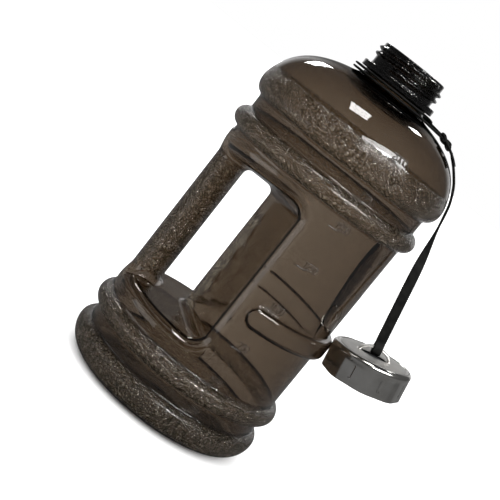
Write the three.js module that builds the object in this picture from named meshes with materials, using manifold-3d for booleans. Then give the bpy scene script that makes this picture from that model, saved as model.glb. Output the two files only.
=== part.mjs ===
// Large water jug with a screw neck, a through handle, a flat lanyard and a steel cap on it.
// Millimetres, +Z up. The jug stands on z = 0, with its handle towards -X and its lanyard
// and cap hanging on the +X side. Its pieces are drawn about its own axis, and the finished
// group then moves along X, so that the origin is the middle of the whole footprint.
import * as THREE from 'three';
import { mergeVertices } from 'three/addons/utils/BufferGeometryUtils.js';
import Module from 'manifold-3d';

const wasm = await Module();
wasm.setup();

// ---- driving dimensions ----
const AXIS_X = -26.25; // the jug's axis
const GAP = 0.3; // between pieces that touch
const WALL = 1.5; // blow-moulded wall
const TURN = 40; // segments round the jug

const R_BODY = 61.5;
const R_RING = 67.3;
const R_BASE = 66.8;
const RING_LOW = 35.6; // heights of the two rings
const RING_HIGH = 171.1;
const RING_HALF = 6.3;
const SHOULDER_WIDE = 196; // height where the shoulder is widest
const SHOULDER_HALF = 8.6;

const SPLIT_LOW = 43.2; // the moulding is divided here into simple zones
const SPLIT_HIGH = 162.8;
const NECK_LOW = 232.6;

const RIM = 256.2;
const R_NECK = 21.6;
const R_BORE = 19.3;
const R_THREAD = 23.5;
const THREAD_PITCH = 3.95;
const R_FLANGE = 25.7;
const FLANGE_LOW = 237.8;
const FLANGE_HIGH = 241.6;

const POCKET_LOW = 55.3;
const POCKET_HIGH = 155;
const HOLE_HIGH = 147; // the pocket's roof slopes down to this at the mould line
const POCKET_EDGE_X = 5.2; // where the pocket's body-side wall meets the round wall
const WAIST_X = -21.2; // the same wall at the mould line
const GRIP = { x: -50.9, halfX: 10.2, halfY: 17.5 };

const RIB = { z: 89.9, half: 6.9, rise: 4.6, front: 17.5, back: 11.5 }; // its ends, in degrees from -Y and +Y

const LOOP_INNER = 23.9; // the lanyard's two turns round the neck
const LOOP_OUTER = 29.4;
const LOOP_LOW = 234.2;
const LOOP_HIGH = 236.6;
const LOOP_THICK = 1.4;

const CAP_R = 26.2;
const CAP_HEIGHT = 18.8;
const CAP_RIM = 2.6; // radius of its rolled edge
const CAP_WALL = 0.9;
const CAP_LEAN = 12; // degrees, as it hangs against the jug
const CAP_SEAT = [90.3, 0, 105.2]; // middle of its top plate
const HANG_Z = 4.9; // above the plate, where the lanyard's last loop holds the bridge
const FLATS = 8;

const rad = THREE.MathUtils.degToRad;

// ---- helpers ----

// A closed three.js geometry as a solid with its faces outward.
function solid(geometry) {
  geometry.deleteAttribute('normal');
  geometry.deleteAttribute('uv');
  const merged = mergeVertices(geometry, 1e-4);
  const position = merged.attributes.position;
  const index = merged.index.array;
  const kept = [];
  let volume = 0;
  for (let i = 0; i < index.length; i += 3) {
    const [a, b, c] = [index[i], index[i + 1], index[i + 2]];
    if (a === b || b === c || c === a) continue;
    const [p, q, r] = [a, b, c].map((k) => new THREE.Vector3().fromBufferAttribute(position, k));
    volume += p.dot(q.cross(r));
    kept.push([a, b, c]);
  }
  const faces = volume < 0 ? kept.map(([a, b, c]) => [a, c, b]) : kept;
  return new wasm.Manifold(new wasm.Mesh({
    numProp: 3,
    vertProperties: new Float32Array(position.array),
    triVerts: new Uint32Array(faces.flat()),
  }));
}

// A closed profile of [radius, height] points turned round Z.
function turned(profile, segments = TURN) {
  const points = [...profile, profile[0]].map(([r, z]) => new THREE.Vector2(r, z));
  return solid(new THREE.LatheGeometry(points, segments).rotateX(Math.PI / 2));
}

const outline = (points) => new THREE.Shape(points.map(([x, y]) => new THREE.Vector2(x, y)));

// An outline in XY raised from one height to another.
function prism(points, low, high) {
  const options = { depth: high - low, bevelEnabled: false };
  return solid(new THREE.ExtrudeGeometry(outline(points), options).translate(0, 0, low));
}

// A section carried along a smooth path through points. turn, if it is given, says how many degrees
// the section has turned about the path at each share of its length.
function swept(section, points, steps, turn) {
  const path = new THREE.CatmullRomCurve3(points.map((p) => new THREE.Vector3(...p)), false, 'centripetal');
  const geometry = new THREE.ExtrudeGeometry(outline(section), { steps, extrudePath: path });
  if (turn) {
    const centres = path.getSpacedPoints(steps);
    const position = geometry.attributes.position;
    for (let i = 0; i < position.count; i += 1) {
      const p = new THREE.Vector3().fromBufferAttribute(position, i);
      const gaps = centres.map((c) => c.distanceTo(p));
      const share = gaps.indexOf(Math.min(...gaps)) / steps;
      const centre = path.getPointAt(share);
      p.sub(centre).applyAxisAngle(path.getTangentAt(share), rad(turn(share))).add(centre);
      position.setXYZ(i, p.x, p.y, p.z);
    }
  }
  return solid(geometry);
}

const ball = (x, y, z) => new THREE.SphereGeometry(1, 14, 8).scale(x, y, z);

// Points on an ellipse, angles in degrees.
function arc(x, y, halfX, halfY, from, to, steps) {
  return Array.from({ length: steps + 1 }, (_, i) => {
    const a = rad(from + ((to - from) * i) / steps);
    return [x + halfX * Math.cos(a), y + halfY * Math.sin(a)];
  });
}

const oval = (x, y, halfX, halfY, steps) => arc(x, y, halfX, halfY, 0, 360, steps).slice(0, -1);

// A profile that runs upward, moved towards the axis by the wall.
function inward(profile) {
  return profile.map(([r, z], i) => {
    const [r0, z0] = profile[Math.max(i - 1, 0)];
    const [r1, z1] = profile[Math.min(i + 1, profile.length - 1)];
    const along = new THREE.Vector2(r1 - r0, z1 - z0).normalize();
    return [Math.max(r - along.y * WALL, 0), z + along.x * WALL];
  });
}

// ---- the bottle moulding: base, wall with the handle pocket, grip, shoulder and neck ----

const ring = (z) => arc(R_BODY - 0.4, z, R_RING - R_BODY + 0.4, RING_HALF, -86, 86, 5);

const baseOutside = [
  [0, 5.4], [38, 4.2], [46, 1.4], [50.5, 0], [53.5, 0],
  ...arc(52.6, 14.2, R_BASE - 52.6, 14.2, -72, 0, 4),
  ...arc(R_BODY - 0.4, 14.6, R_BASE - R_BODY + 0.4, 5.6, 26, 86, 2),
  ...ring(RING_LOW),
  [R_BODY, SPLIT_LOW - GAP / 2],
];
const base = turned([...baseOutside, ...inward(baseOutside).reverse()]);

const shoulderOutside = [
  [R_BODY, SPLIT_HIGH + GAP / 2],
  ...ring(RING_HIGH),
  ...arc(R_BODY - 0.6, SHOULDER_WIDE, R_RING - R_BODY + 0.6, SHOULDER_HALF, -84, 0, 3),
  [66.4, 203.2], [63.4, 210], [57.9, 218], [52.2, 222.9], [46, 226.4], [38, 229.6],
  [26.4, NECK_LOW - GAP / 2],
];
const shoulder = turned([...shoulderOutside, ...inward(shoulderOutside).reverse()]);

const neckTube = turned([
  [24.4, NECK_LOW + GAP / 2], [25.8, NECK_LOW + GAP / 2], [24.1, 233.2], [22.8, 234.2],
  [R_NECK + 0.2, 235.8], [R_NECK, FLANGE_LOW],
  [R_FLANGE - 0.4, FLANGE_LOW], [R_FLANGE, FLANGE_LOW + 0.4],
  [R_FLANGE, FLANGE_HIGH - 0.4], [R_FLANGE - 0.4, FLANGE_HIGH],
  [R_NECK, FLANGE_HIGH], [R_NECK, RIM - 0.5], [R_NECK - 0.5, RIM],
  [R_BORE + 0.5, RIM], [R_BORE, RIM - 0.5], [R_BORE, 235.4], [R_BORE + 1.6, 234],
]);

// A right-hand ridge from one height up, with round ends.
function threadRidge(radius, half, low, turns, start) {
  const steps = turns * 20;
  const points = Array.from({ length: steps + 1 }, (_, i) => {
    const a = rad(start + i * 18);
    return [radius * Math.cos(a), radius * Math.sin(a), low + (i / 20) * THREAD_PITCH];
  });
  const ends = [points[0], points[steps]].map(([x, y, z]) => solid(ball(half, half, half).translate(x, y, z)));
  return swept(oval(0, 0, half, half, 6), points, steps).add(ends[0]).add(ends[1]);
}
const neck = neckTube.add(threadRidge(R_THREAD - 1.3, 1.3, 244.9, 2, -120));

// The pocket cuts through the jug from front to back between the grip and a slanting wall.
function pocket(grow) {
  const reach = R_BODY + 14;
  const slope = (POCKET_EDGE_X - WAIST_X) / R_BODY;
  const waist = WAIST_X + grow * Math.hypot(1, slope);
  const plan = prism([
    [-90, -reach], [waist + slope * reach, -reach], [waist + slope * 4, -4], [waist + 0.5, 0],
    [waist + slope * 4, 4], [waist + slope * reach, reach], [-90, reach],
  ], 0, 200);
  const sides = prism([
    [-reach, POCKET_HIGH + 2 + grow], [0, HOLE_HIGH + grow], [reach, POCKET_HIGH + 2 + grow],
    [reach, POCKET_LOW - grow], [0, POCKET_LOW + 2 - grow], [-reach, POCKET_LOW - grow],
  ], -100, 100).rotate([90, 0, 90]);
  return plan.intersect(sides);
}

const gripColumn = (grow, low, high) => (
  prism(oval(GRIP.x, 0, GRIP.halfX + grow, GRIP.halfY + grow, 24), low, high)
);

// A raised band round the side opposite the handle.
function ribBand(grow) {
  const section = arc(0, 0, RIB.half + grow, RIB.rise + 0.7 + grow, 0, 180, 6);
  const points = arc(0, 0, R_BODY - 0.7, R_BODY - 0.7, RIB.front - 90, 90 - RIB.back, 24)
    .map(([x, y]) => [x, y, RIB.z]);
  const path = new THREE.CatmullRomCurve3(points.map((p) => new THREE.Vector3(...p)));
  const frames = path.computeFrenetFrames(24, false);
  const outIsBinormal = Math.abs(frames.normals[0].z) > 0.5;
  const sign = Math.sign((outIsBinormal ? frames.binormals : frames.normals)[0].dot(path.getPoint(0)));
  const turnedSection = section.map(([along, out]) => (outIsBinormal ? [along, out * sign] : [out * sign, along]));
  const band = solid(new THREE.ExtrudeGeometry(outline(turnedSection), { steps: 24, extrudePath: path }));
  const end = (p) => solid(ball(RIB.rise + 0.7 + grow, RIB.half + grow, RIB.half + grow)
    .rotateZ(Math.atan2(p[1], p[0])).translate(...p));
  return band.add(end(points[0])).add(end(points[24]));
}

const drum = (r, low, high) => turned([[0, low], [r, low], [r, high], [0, high]]);

const wallLow = SPLIT_LOW + GAP / 2;
const wallHigh = SPLIT_HIGH - GAP / 2;
const wallOutside = drum(R_BODY, wallLow, wallHigh)
  .subtract(pocket(0).subtract(gripColumn(0, 0, 200)))
  .add(ribBand(0));
const wallInside = drum(R_BODY - WALL, wallLow - 1, wallHigh + 1)
  .subtract(pocket(WALL).subtract(gripColumn(-WALL, 0, 200)))
  .add(ribBand(-WALL));
const wallAndGrip = wallOutside.subtract(wallInside);

const gripLow = POCKET_LOW + 4;
const gripHigh = HOLE_HIGH - 1;
const grip = wallAndGrip.intersect(gripColumn(1.5, gripLow + GAP / 2, gripHigh - GAP / 2));
const wall = wallAndGrip.subtract(gripColumn(1.5, gripLow - GAP / 2, gripHigh + GAP / 2));

// ---- the lanyard: two flat turns under the flange, the knot, the hanging run and its short tail ----

const loopRing = (z) => turned([
  [LOOP_INNER, z - LOOP_THICK / 2], [LOOP_OUTER, z - LOOP_THICK / 2],
  [LOOP_OUTER, z + LOOP_THICK / 2], [LOOP_INNER, z + LOOP_THICK / 2],
], 32);
const block = (x, y, z, at) => solid(new THREE.BoxGeometry(x, y, z).translate(...at));
const neckLoop = loopRing(LOOP_LOW)
  .add(loopRing(LOOP_HIGH))
  .add(block(6.6, 6, LOOP_THICK, [32, 0, LOOP_LOW]))
  .add(block(6.6, 6, LOOP_THICK, [32, 0, LOOP_HIGH]))
  .add(block(2.4, 6, LOOP_HIGH - LOOP_LOW + LOOP_THICK, [34.1, 0, (LOOP_LOW + LOOP_HIGH) / 2]));

const knot = solid(ball(6.4, 4.6, 2.7).rotateY(rad(20)).translate(42.2, 0, 232.1));

const strapSection = [
  [-3.5, -0.4], [-3.1, -0.8], [3.1, -0.8], [3.5, -0.4], [3.5, 0.4], [3.1, 0.8], [-3.1, 0.8], [-3.5, 0.4],
];
const run = swept(strapSection, [
  [48.9, 0, 229.2], [51.5, 0, 226.7], [54.9, 0, 223.6], [58.9, 0, 219.2], [62.1, 0, 215.2],
  [64.7, 0, 210.7], [66.5, 0, 207], [67.8, 0, 203.6], [68.8, 0, 199.8], [73.5, 0, 178.8],
  [78.4, 0, 157.1], [83.3, 0, 135.8], [88.2, 0, 114.7],
], 30, (share) => 90 * THREE.MathUtils.smoothstep(share, 0.3, 0.72));
const tail = swept(strapSection, [
  [41.5, -8.6, 232.4], [46, -8.9, 230.2], [50.5, -9.2, 227.4], [54.5, -9.4, 224.1],
], 8);
const capLoop = turned([[3, -3.2], [4.3, -3.2], [4.3, 3.2], [3, 3.2]], 20).rotate([0, 90, 0]);

// ---- the cap, drawn with its top plate at z = 0 ----

const shellBlank = turned([
  [0, -CAP_WALL], [0, 0], [CAP_R - CAP_RIM - 1.3, 0], [CAP_R - CAP_RIM - 1, -0.35],
  [CAP_R - CAP_RIM - 0.6, -0.35], ...arc(CAP_R - CAP_RIM, -CAP_RIM, CAP_RIM, CAP_RIM, 90, 0, 4),
  [CAP_R, -CAP_HEIGHT], [CAP_R - CAP_WALL, -CAP_HEIGHT],
  [CAP_R - CAP_WALL, -CAP_RIM], [CAP_R - CAP_RIM, -CAP_WALL],
]);

// Shallow hollows round the skirt for the fingers.
function gripHollows() {
  const centre = CAP_R + 21.5;
  const cutter = new THREE.CylinderGeometry(22, 22, 30, 40).rotateX(Math.PI / 2);
  const cuts = Array.from({ length: FLATS }, (_, i) => {
    const a = rad((360 * (i + 0.5)) / FLATS);
    return solid(cutter.clone().translate(centre * Math.cos(a), centre * Math.sin(a), -CAP_RIM - 18));
  });
  return cuts.reduce((all, cut) => all.add(cut));
}

const bridgePath = arc(0, -0.5, 10, 5.6, 0, 180, 12).map(([x, z]) => [x, 0, z]);
const bridge = swept([[-2.4, -0.75], [2.4, -0.75], [2.4, 0.75], [-2.4, 0.75]], bridgePath, 16);
const shell = shellBlank
  .subtract(gripHollows())
  .subtract(prism(oval(0, 0, 8.4, 5.4, 28), -2, 1))
  .add(bridge);

const LINER_R = CAP_R - CAP_WALL - GAP;
const LINER_BORE = R_THREAD + 0.4;
const linerTop = -CAP_WALL - GAP;
const liner = turned([
  [0, linerTop - 3], [0, linerTop], [LINER_R - 2.2, linerTop], [LINER_R, linerTop - 2.1],
  [LINER_R, 0.5 - CAP_HEIGHT], [LINER_BORE, 0.5 - CAP_HEIGHT], [LINER_BORE, linerTop - 3],
]).add(threadRidge(LINER_BORE, 0.9, -15.6, 2, 0));

const gasket = turned([
  [18.6, linerTop - 5], [22.6, linerTop - 5], [22.6, linerTop - 3 - GAP], [18.6, linerTop - 3 - GAP],
], 48);

// ---- the scene graph ----

function piece(name, made, color, roughness, metalness = 0, opacity = 1) {
  const { vertProperties, triVerts } = made.getMesh();
  const geometry = new THREE.BufferGeometry();
  geometry.setAttribute('position', new THREE.BufferAttribute(new Float32Array(vertProperties), 3));
  geometry.setIndex(new THREE.BufferAttribute(new Uint32Array(triVerts), 1));
  geometry.computeVertexNormals();
  const material = new THREE.MeshStandardMaterial({
    color, roughness, metalness, opacity, transparent: opacity < 1,
  });
  const mesh = new THREE.Mesh(geometry, material);
  mesh.name = name;
  return mesh;
}

const smoke = ['#5b4f40', 0.15, 0, 0.7];
const braid = ['#16170f', 0.85];

const jug = new THREE.Group();
jug.add(
  piece('bottle_base', base, ...smoke),
  piece('bottle_wall', wall, ...smoke),
  piece('bottle_handle', grip, ...smoke),
  piece('bottle_shoulder', shoulder, ...smoke),
  piece('bottle_neck', neck, '#14120e', 0.2),
  piece('lanyard_neck_loop', neckLoop, ...braid),
  piece('lanyard_knot', knot, ...braid),
  piece('lanyard_tail', tail, ...braid),
  piece('lanyard_run', run, ...braid),
);

const cap = new THREE.Group();
cap.position.set(...CAP_SEAT);
cap.rotation.y = -rad(CAP_LEAN);
const held = piece('lanyard_cap_loop', capLoop, ...braid);
held.position.z = HANG_Z;
cap.add(
  held,
  piece('cap_shell', shell, '#b9b7b2', 0.25, 1),
  piece('cap_liner', liner, '#17171a', 0.5),
  piece('cap_gasket', gasket, '#d8d6d0', 0.7),
);
jug.add(cap);
jug.position.x = AXIS_X;

export default jug;
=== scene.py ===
"""A large water jug of smoke-brown plastic, with a braided lanyard and a steel cap, round its CAD frame.

Shapes are worked out in millimetres about the jug's own axis and set down in metres in the row frame.
"""

import math

import bpy
import numpy as np
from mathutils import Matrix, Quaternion, Vector


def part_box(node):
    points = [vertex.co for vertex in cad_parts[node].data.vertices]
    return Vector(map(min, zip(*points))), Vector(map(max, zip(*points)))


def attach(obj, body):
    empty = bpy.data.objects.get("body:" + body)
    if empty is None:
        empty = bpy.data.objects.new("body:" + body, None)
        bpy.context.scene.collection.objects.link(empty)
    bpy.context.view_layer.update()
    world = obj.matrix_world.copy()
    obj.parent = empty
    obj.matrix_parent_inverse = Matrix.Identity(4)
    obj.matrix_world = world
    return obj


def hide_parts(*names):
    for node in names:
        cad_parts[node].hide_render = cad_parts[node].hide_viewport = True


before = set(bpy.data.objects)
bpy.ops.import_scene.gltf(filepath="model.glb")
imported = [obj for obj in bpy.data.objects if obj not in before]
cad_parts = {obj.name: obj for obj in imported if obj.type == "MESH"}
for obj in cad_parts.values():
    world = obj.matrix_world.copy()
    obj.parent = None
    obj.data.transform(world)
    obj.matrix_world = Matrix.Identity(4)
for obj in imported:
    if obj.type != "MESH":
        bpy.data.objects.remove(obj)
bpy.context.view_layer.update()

MM = 0.001
shoulder_low, shoulder_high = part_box("bottle_shoulder")
AXIS_X = (shoulder_low.x + shoulder_high.x) / 2 / MM


def at(x, y, z):
    """A point given in millimetres about the jug's axis, in the row frame."""
    return Vector((x + AXIS_X, y, z)) * MM


# ---- camera ----

AIM = (-8.6, 0, 108.5)
ELEVATION, ROLL = 9.43, 38.5  # degrees; the photograph's jug leans, and here the camera leans instead
DISTANCE = 0.736
LENS, SENSOR = 87.2, 36


def make_camera():
    """A camera in front of the jug, at the photograph's viewing angle."""
    elevation = math.radians(ELEVATION)
    back = Vector((0, -math.cos(elevation), math.sin(elevation)))
    data = bpy.data.cameras.new("camera")
    data.lens = LENS
    data.sensor_width = SENSOR
    camera = bpy.data.objects.new("camera", data)
    bpy.context.scene.collection.objects.link(camera)
    camera.location = at(*AIM) + back * DISTANCE
    level = (-back).to_track_quat("-Z", "Y")
    camera.rotation_mode = "QUATERNION"
    camera.rotation_quaternion = level @ Quaternion((0, 0, 1), math.radians(ROLL))
    bpy.context.scene.camera = camera


make_camera()

# ---- mesh helpers ----


def arc(x, y, half_x, half_y, start, end, steps):
    """Points on an ellipse between two angles in degrees."""
    angles = np.radians(np.linspace(start, end, steps + 1))
    return [(x + half_x * math.cos(t), y + half_y * math.sin(t)) for t in angles]


def piece(name, points, faces, material, body, replaced=(), normals=None, place=None):
    """A mesh from points in millimetres, riding on a CAD body. The points are about the jug's axis, or about
    place, which is a rotation and an offset."""
    points = np.asarray(points, float)
    if place is not None:
        points = points @ place[0].T + place[1]
        normals = normals if normals is None else normals @ place[0].T
    mesh = bpy.data.meshes.new(name)
    mesh.from_pydata(((points + (AXIS_X, 0, 0)) * MM).tolist(), [], [list(f) for f in faces])
    mesh.materials.append(material)
    mesh.shade_smooth()
    if normals is not None:
        mesh.normals_split_custom_set_from_vertices(normals.tolist())
    made = bpy.data.objects.new(name, mesh)
    bpy.context.scene.collection.objects.link(made)
    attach(made, body)
    if replaced:
        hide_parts(*replaced)
    return made


def mark(made, name, values):
    """A number on each point that the material reads."""
    made.data.attributes.new(name, "FLOAT", "POINT").data.foreach_set("value", values.astype(np.float32))


def grid_faces(rows, columns, close_rows=False, close_columns=False):
    """Quads over a grid of points numbered row by row."""
    faces = []
    for i in range(rows - (not close_rows)):
        for j in range(columns - (not close_columns)):
            a, b = i * columns, ((i + 1) % rows) * columns
            k = (j + 1) % columns
            faces.append((a + j, a + k, b + k, b + j))
    return faces


def turned(profile, steps, swell=None):
    """A closed outline of (radius, height) turned round Z. It may start and end on the axis, and swell may
    add to the radius at each angle and height."""
    solid_core = profile[0][0] == 0 and profile[-1][0] == 0
    around = profile[1:-1] if solid_core else profile
    p = np.array(around, float)
    angles = np.linspace(0, 2 * math.pi, steps, endpoint=False)
    radius = np.broadcast_to(p[:, 0], (steps, len(p))).copy()
    if swell is not None:
        radius += np.array([[swell(t, z) for z in p[:, 1]] for t in angles])
    points = np.stack([
        radius * np.cos(angles)[:, None], radius * np.sin(angles)[:, None],
        np.broadcast_to(p[:, 1], (steps, len(p))),
    ], -1).reshape(-1, 3)
    faces = grid_faces(steps, len(p), close_rows=True, close_columns=not solid_core)
    if solid_core:
        points = np.concatenate([points, [(0, 0, profile[0][1]), (0, 0, profile[-1][1])]])
        for end, column in ((len(points) - 2, 0), (len(points) - 1, len(p) - 1)):
            rim = [i * len(p) + column for i in range(steps)]
            fan = [(end, b, a) for a, b in zip(rim, rim[1:] + rim[:1])]
            faces += fan if column == 0 else [f[::-1] for f in fan]
    return points, faces


def smooth_path(route, spacing, closed=False):
    """Evenly spaced points on a smooth curve through a route."""
    p = np.array(route, float)
    p = np.concatenate([p[-2:], p, p[:3]]) if closed else p
    at_knot = np.concatenate([[0], np.cumsum(np.linalg.norm(np.diff(p, axis=0), axis=1) ** 0.5)])
    slope = np.gradient(p, at_knot, axis=0)
    dense = []
    for i in range(2 if closed else 0, len(p) - (3 if closed else 1)):
        h = at_knot[i + 1] - at_knot[i]
        t = np.linspace(0, 1, 40, endpoint=False)[:, None]
        dense.append(
            (2 * t**3 - 3 * t**2 + 1) * p[i] + (t**3 - 2 * t**2 + t) * h * slope[i]
            + (3 * t**2 - 2 * t**3) * p[i + 1] + (t**3 - t**2) * h * slope[i + 1]
        )
    dense = np.concatenate(dense + [p[2:3] if closed else p[-1:]])
    far = np.concatenate([[0], np.cumsum(np.linalg.norm(np.diff(dense, axis=0), axis=1))])
    even = np.linspace(0, far[-1], round(far[-1] / spacing) + 1)
    even = even[:-1] if closed else even
    return np.stack([np.interp(even, far, dense[:, k]) for k in range(3)], 1)


def tangents(path, closed):
    """The unit direction of a path at each of its points."""
    t = np.roll(path, -1, 0) - np.roll(path, 1, 0)
    if not closed:
        t[0], t[-1] = path[1] - path[0], path[-1] - path[-2]
    return t / np.linalg.norm(t, axis=1, keepdims=True)


def braid(path, across, half_width, half_thick, closed=False, columns=56, yarn=1.25, relief=0.16):
    """A flat braided strap: a closed tube round a path, with its yarns standing out and scalloped edges.
    across points over the strap's width at each point of the path."""
    along = tangents(path, closed)
    across = across - (across * along).sum(1, keepdims=True) * along
    across /= np.linalg.norm(across, axis=1, keepdims=True)
    up = np.cross(along, across)
    far = np.arange(len(path)) * np.linalg.norm(path[1] - path[0])
    if closed:
        yarn = far[-1] / round(far[-1] / yarn)
    t = np.linspace(0, 2 * math.pi, columns, endpoint=False)
    side = np.sign(np.cos(t)) * np.abs(np.cos(t)) ** 0.75
    top = np.sign(np.sin(t)) * np.abs(np.sin(t)) ** 0.55
    u = half_width * side[None, :]
    a, b = (far[:, None] + u) / yarn, (far[:, None] - u) / yarn
    over = (np.floor(a) + np.floor(b)) % 2 == 0
    height = relief * np.sqrt(np.abs(np.where(over, np.sin(math.pi * a), np.sin(math.pi * b))))
    edge = 1 - 0.09 * np.abs(np.cos(math.pi * far / yarn))
    points = (
        path[:, None, :]
        + (u * edge[:, None])[..., None] * across[:, None, :]
        + (top[None, :] * (half_thick - relief + height))[..., None] * up[:, None, :]
    )
    faces = grid_faces(len(path), columns, close_rows=closed, close_columns=True)
    points = points.reshape(-1, 3)
    if not closed:
        points = np.concatenate([points, [path[0], path[-1]]])
        first, last = range(columns), range((len(path) - 1) * columns, len(path) * columns)
        faces += [(len(points) - 2, b, a) for a, b in zip(first, [*first[1:], first[0]])]
        faces += [(len(points) - 1, a, b) for a, b in zip(last, [*last[1:], last[0]])]
    return points, faces


def joined(*meshes):
    """Several meshes as one."""
    points, faces, count = [], [], 0
    for p, f in meshes:
        points.append(p)
        faces += [tuple(i + count for i in face) for face in f]
        count += len(p)
    return np.concatenate(points), faces


# ---- material nodes ----


def nodes_of(name):
    """A material with nothing in its tree but a Principled shader and the output."""
    material = bpy.data.materials.new(name)
    material.use_nodes = True
    tree = material.node_tree
    tree.nodes.clear()
    output = tree.nodes.new("ShaderNodeOutputMaterial")
    shader = tree.nodes.new("ShaderNodeBsdfPrincipled")
    tree.links.new(shader.outputs[0], output.inputs["Surface"])
    return material, tree, shader, output


def add(tree, kind, settings=None, **inputs):
    """A node with its settings and inputs; an input is a value or another node's output."""
    node = tree.nodes.new("ShaderNode" + kind)
    for key, value in (settings or {}).items():
        setattr(node, key, value)
    for key, value in inputs.items():
        socket = node.inputs[int(key[1:])] if key[0] == "i" and key[1:].isdigit() else node.inputs[key]
        if isinstance(value, bpy.types.NodeSocket):
            tree.links.new(value, socket)
        else:
            socket.default_value = value
    return node


def tones(tree, value, low, dark, high, light):
    """A colour that goes from dark to light between two values."""
    ramp = add(tree, "ValToRGB", Fac=value)
    for stop, position, colour in zip(ramp.color_ramp.elements, (low, high), (dark, light)):
        stop.position, stop.color = position, (*colour, 1)
    return ramp.outputs["Color"]


def ease(x, low, high):
    """0 below low and 1 above high, with a smooth step between."""
    t = np.clip((x - low) / (high - low), 0, 1)
    return t * t * (3 - 2 * t)


def moulded(name, dark, light, rough, grain):
    """Plain moulded plastic or rubber with a little mottle."""
    material, tree, shader, _ = nodes_of(name)
    place = add(tree, "TexCoord").outputs["Object"]
    mottle = add(tree, "TexNoise", Vector=place, Scale=260.0, Detail=3.0)
    tone = tones(tree, mottle.outputs["Fac"], 0.3, dark, 0.75, light)
    tree.links.new(tone, shader.inputs["Base Color"])
    spread = add(
        tree, "MapRange", Value=mottle.outputs["Fac"], **{"To Min": rough - 0.08, "To Max": rough + 0.08}
    )
    tree.links.new(spread.outputs[0], shader.inputs["Roughness"])
    fine = add(tree, "TexNoise", Vector=place, Scale=grain)
    bump = add(tree, "Bump", Strength=0.4, Distance=0.00008, Height=fine.outputs["Fac"])
    tree.links.new(bump.outputs[0], shader.inputs["Normal"])
    return material


# ---- the lanyard ----


def braid_yarn():
    """Black polyester yarn, a little shiny along its fibres and greyer where it is worn."""
    material, tree, shader, _ = nodes_of("braid")
    place = add(tree, "TexCoord")
    fibre = add(tree, "TexNoise", Vector=place.outputs["Object"], Scale=2600.0, Detail=3.0)
    worn = add(tree, "TexNoise", Vector=place.outputs["Object"], Scale=220.0, Detail=2.0)
    tone = tones(tree, worn.outputs["Fac"], 0.35, (0.0018, 0.0018, 0.0014), 0.75, (0.007, 0.007, 0.0055))
    tree.links.new(tone, shader.inputs["Base Color"])
    bump = add(tree, "Bump", Strength=0.6, Distance=0.0001, Height=fibre.outputs["Fac"])
    tree.links.new(bump.outputs[0], shader.inputs["Normal"])
    rough = add(tree, "MapRange", Value=fibre.outputs["Fac"], **{"To Min": 0.5, "To Max": 0.85})
    tree.links.new(rough.outputs[0], shader.inputs["Roughness"])
    shader.inputs["Specular IOR Level"].default_value = 0.12
    return material


STRAP_WIDTH, STRAP_THICK = 7.0, 1.6
# the hanging run's route, from the knot over the dome and down to the cap; the CAD has the same points
RUN = (
    (48.9, 0, 229.2), (51.5, 0, 226.7), (54.9, 0, 223.6), (58.9, 0, 219.2), (62.1, 0, 215.2),
    (64.7, 0, 210.7), (66.5, 0, 207), (67.8, 0, 203.6), (68.8, 0, 199.8), (73.5, 0, 178.8),
    (78.4, 0, 157.1), (83.3, 0, 135.8), (88.2, 0, 114.7),
)
TAIL = ((41.5, -8.6, 232.4), (46, -8.9, 230.2), (50.5, -9.2, 227.4), (54.5, -9.4, 224.1))
KNOT = (42.2, 0, 232.1)
NECK_LOOP_RADIUS = 26.6
NECK_LOOP_HIGH, NECK_LOOP_LOW = 236.5, 234.2  # the heights of its two turns
CAP_SEAT = np.array((90.3, 0, 105.2))  # the middle of the cap's top plate
CAP_LEAN = math.radians(12)
CAP_TURN = np.array((
    (math.cos(CAP_LEAN), 0, -math.sin(CAP_LEAN)), (0, 1, 0), (math.sin(CAP_LEAN), 0, math.cos(CAP_LEAN)),
))
HANG_Z = 4.9  # above the plate, where the lanyard's last loop holds the bridge


def build_strap(yarn):
    """The hanging run: edge-on where it leaves the dome and flat-on by the time it reaches the cap."""
    path = smooth_path(RUN, 0.34)
    turn = math.radians(90) * ease(np.linspace(0, 1, len(path)), 0.3, 0.72)[:, None]
    sideways = np.array((0, 1, 0))
    across = np.cos(turn) * sideways + np.sin(turn) * np.cross(tangents(path, False), sideways)
    points, faces = braid(path, across, STRAP_WIDTH / 2, STRAP_THICK / 2)
    strap = piece("lanyard_strap", points, faces, yarn, "lanyard", ("lanyard_run",))
    return strap, path


def build_neck_loops(yarn):
    """Two turns round the neck that leave it as two strands for the knot."""
    leave = math.acos(NECK_LOOP_RADIUS / KNOT[0])
    angles = np.linspace(leave, 4 * math.pi - leave, 90)
    height = NECK_LOOP_HIGH + (NECK_LOOP_LOW - NECK_LOOP_HIGH) * ease(angles, 1.8 * math.pi, 2.2 * math.pi)
    ring = np.stack([
        NECK_LOOP_RADIUS * np.cos(angles), NECK_LOOP_RADIUS * np.sin(angles), height,
    ], 1)
    start, end = (KNOT[0] - 4, 1.0, KNOT[2] + 1.6), (KNOT[0] - 4, -1.0, KNOT[2] + 0.6)
    path = smooth_path([start, *ring.tolist(), end], 0.45)
    across = np.cross(tangents(path, False), (0, 0, 1))
    points, faces = braid(path, across, 2.6, 0.7, columns=40)
    return piece("lanyard_turns", points, faces, yarn, "lanyard_loop", ("lanyard_neck_loop",))


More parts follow.
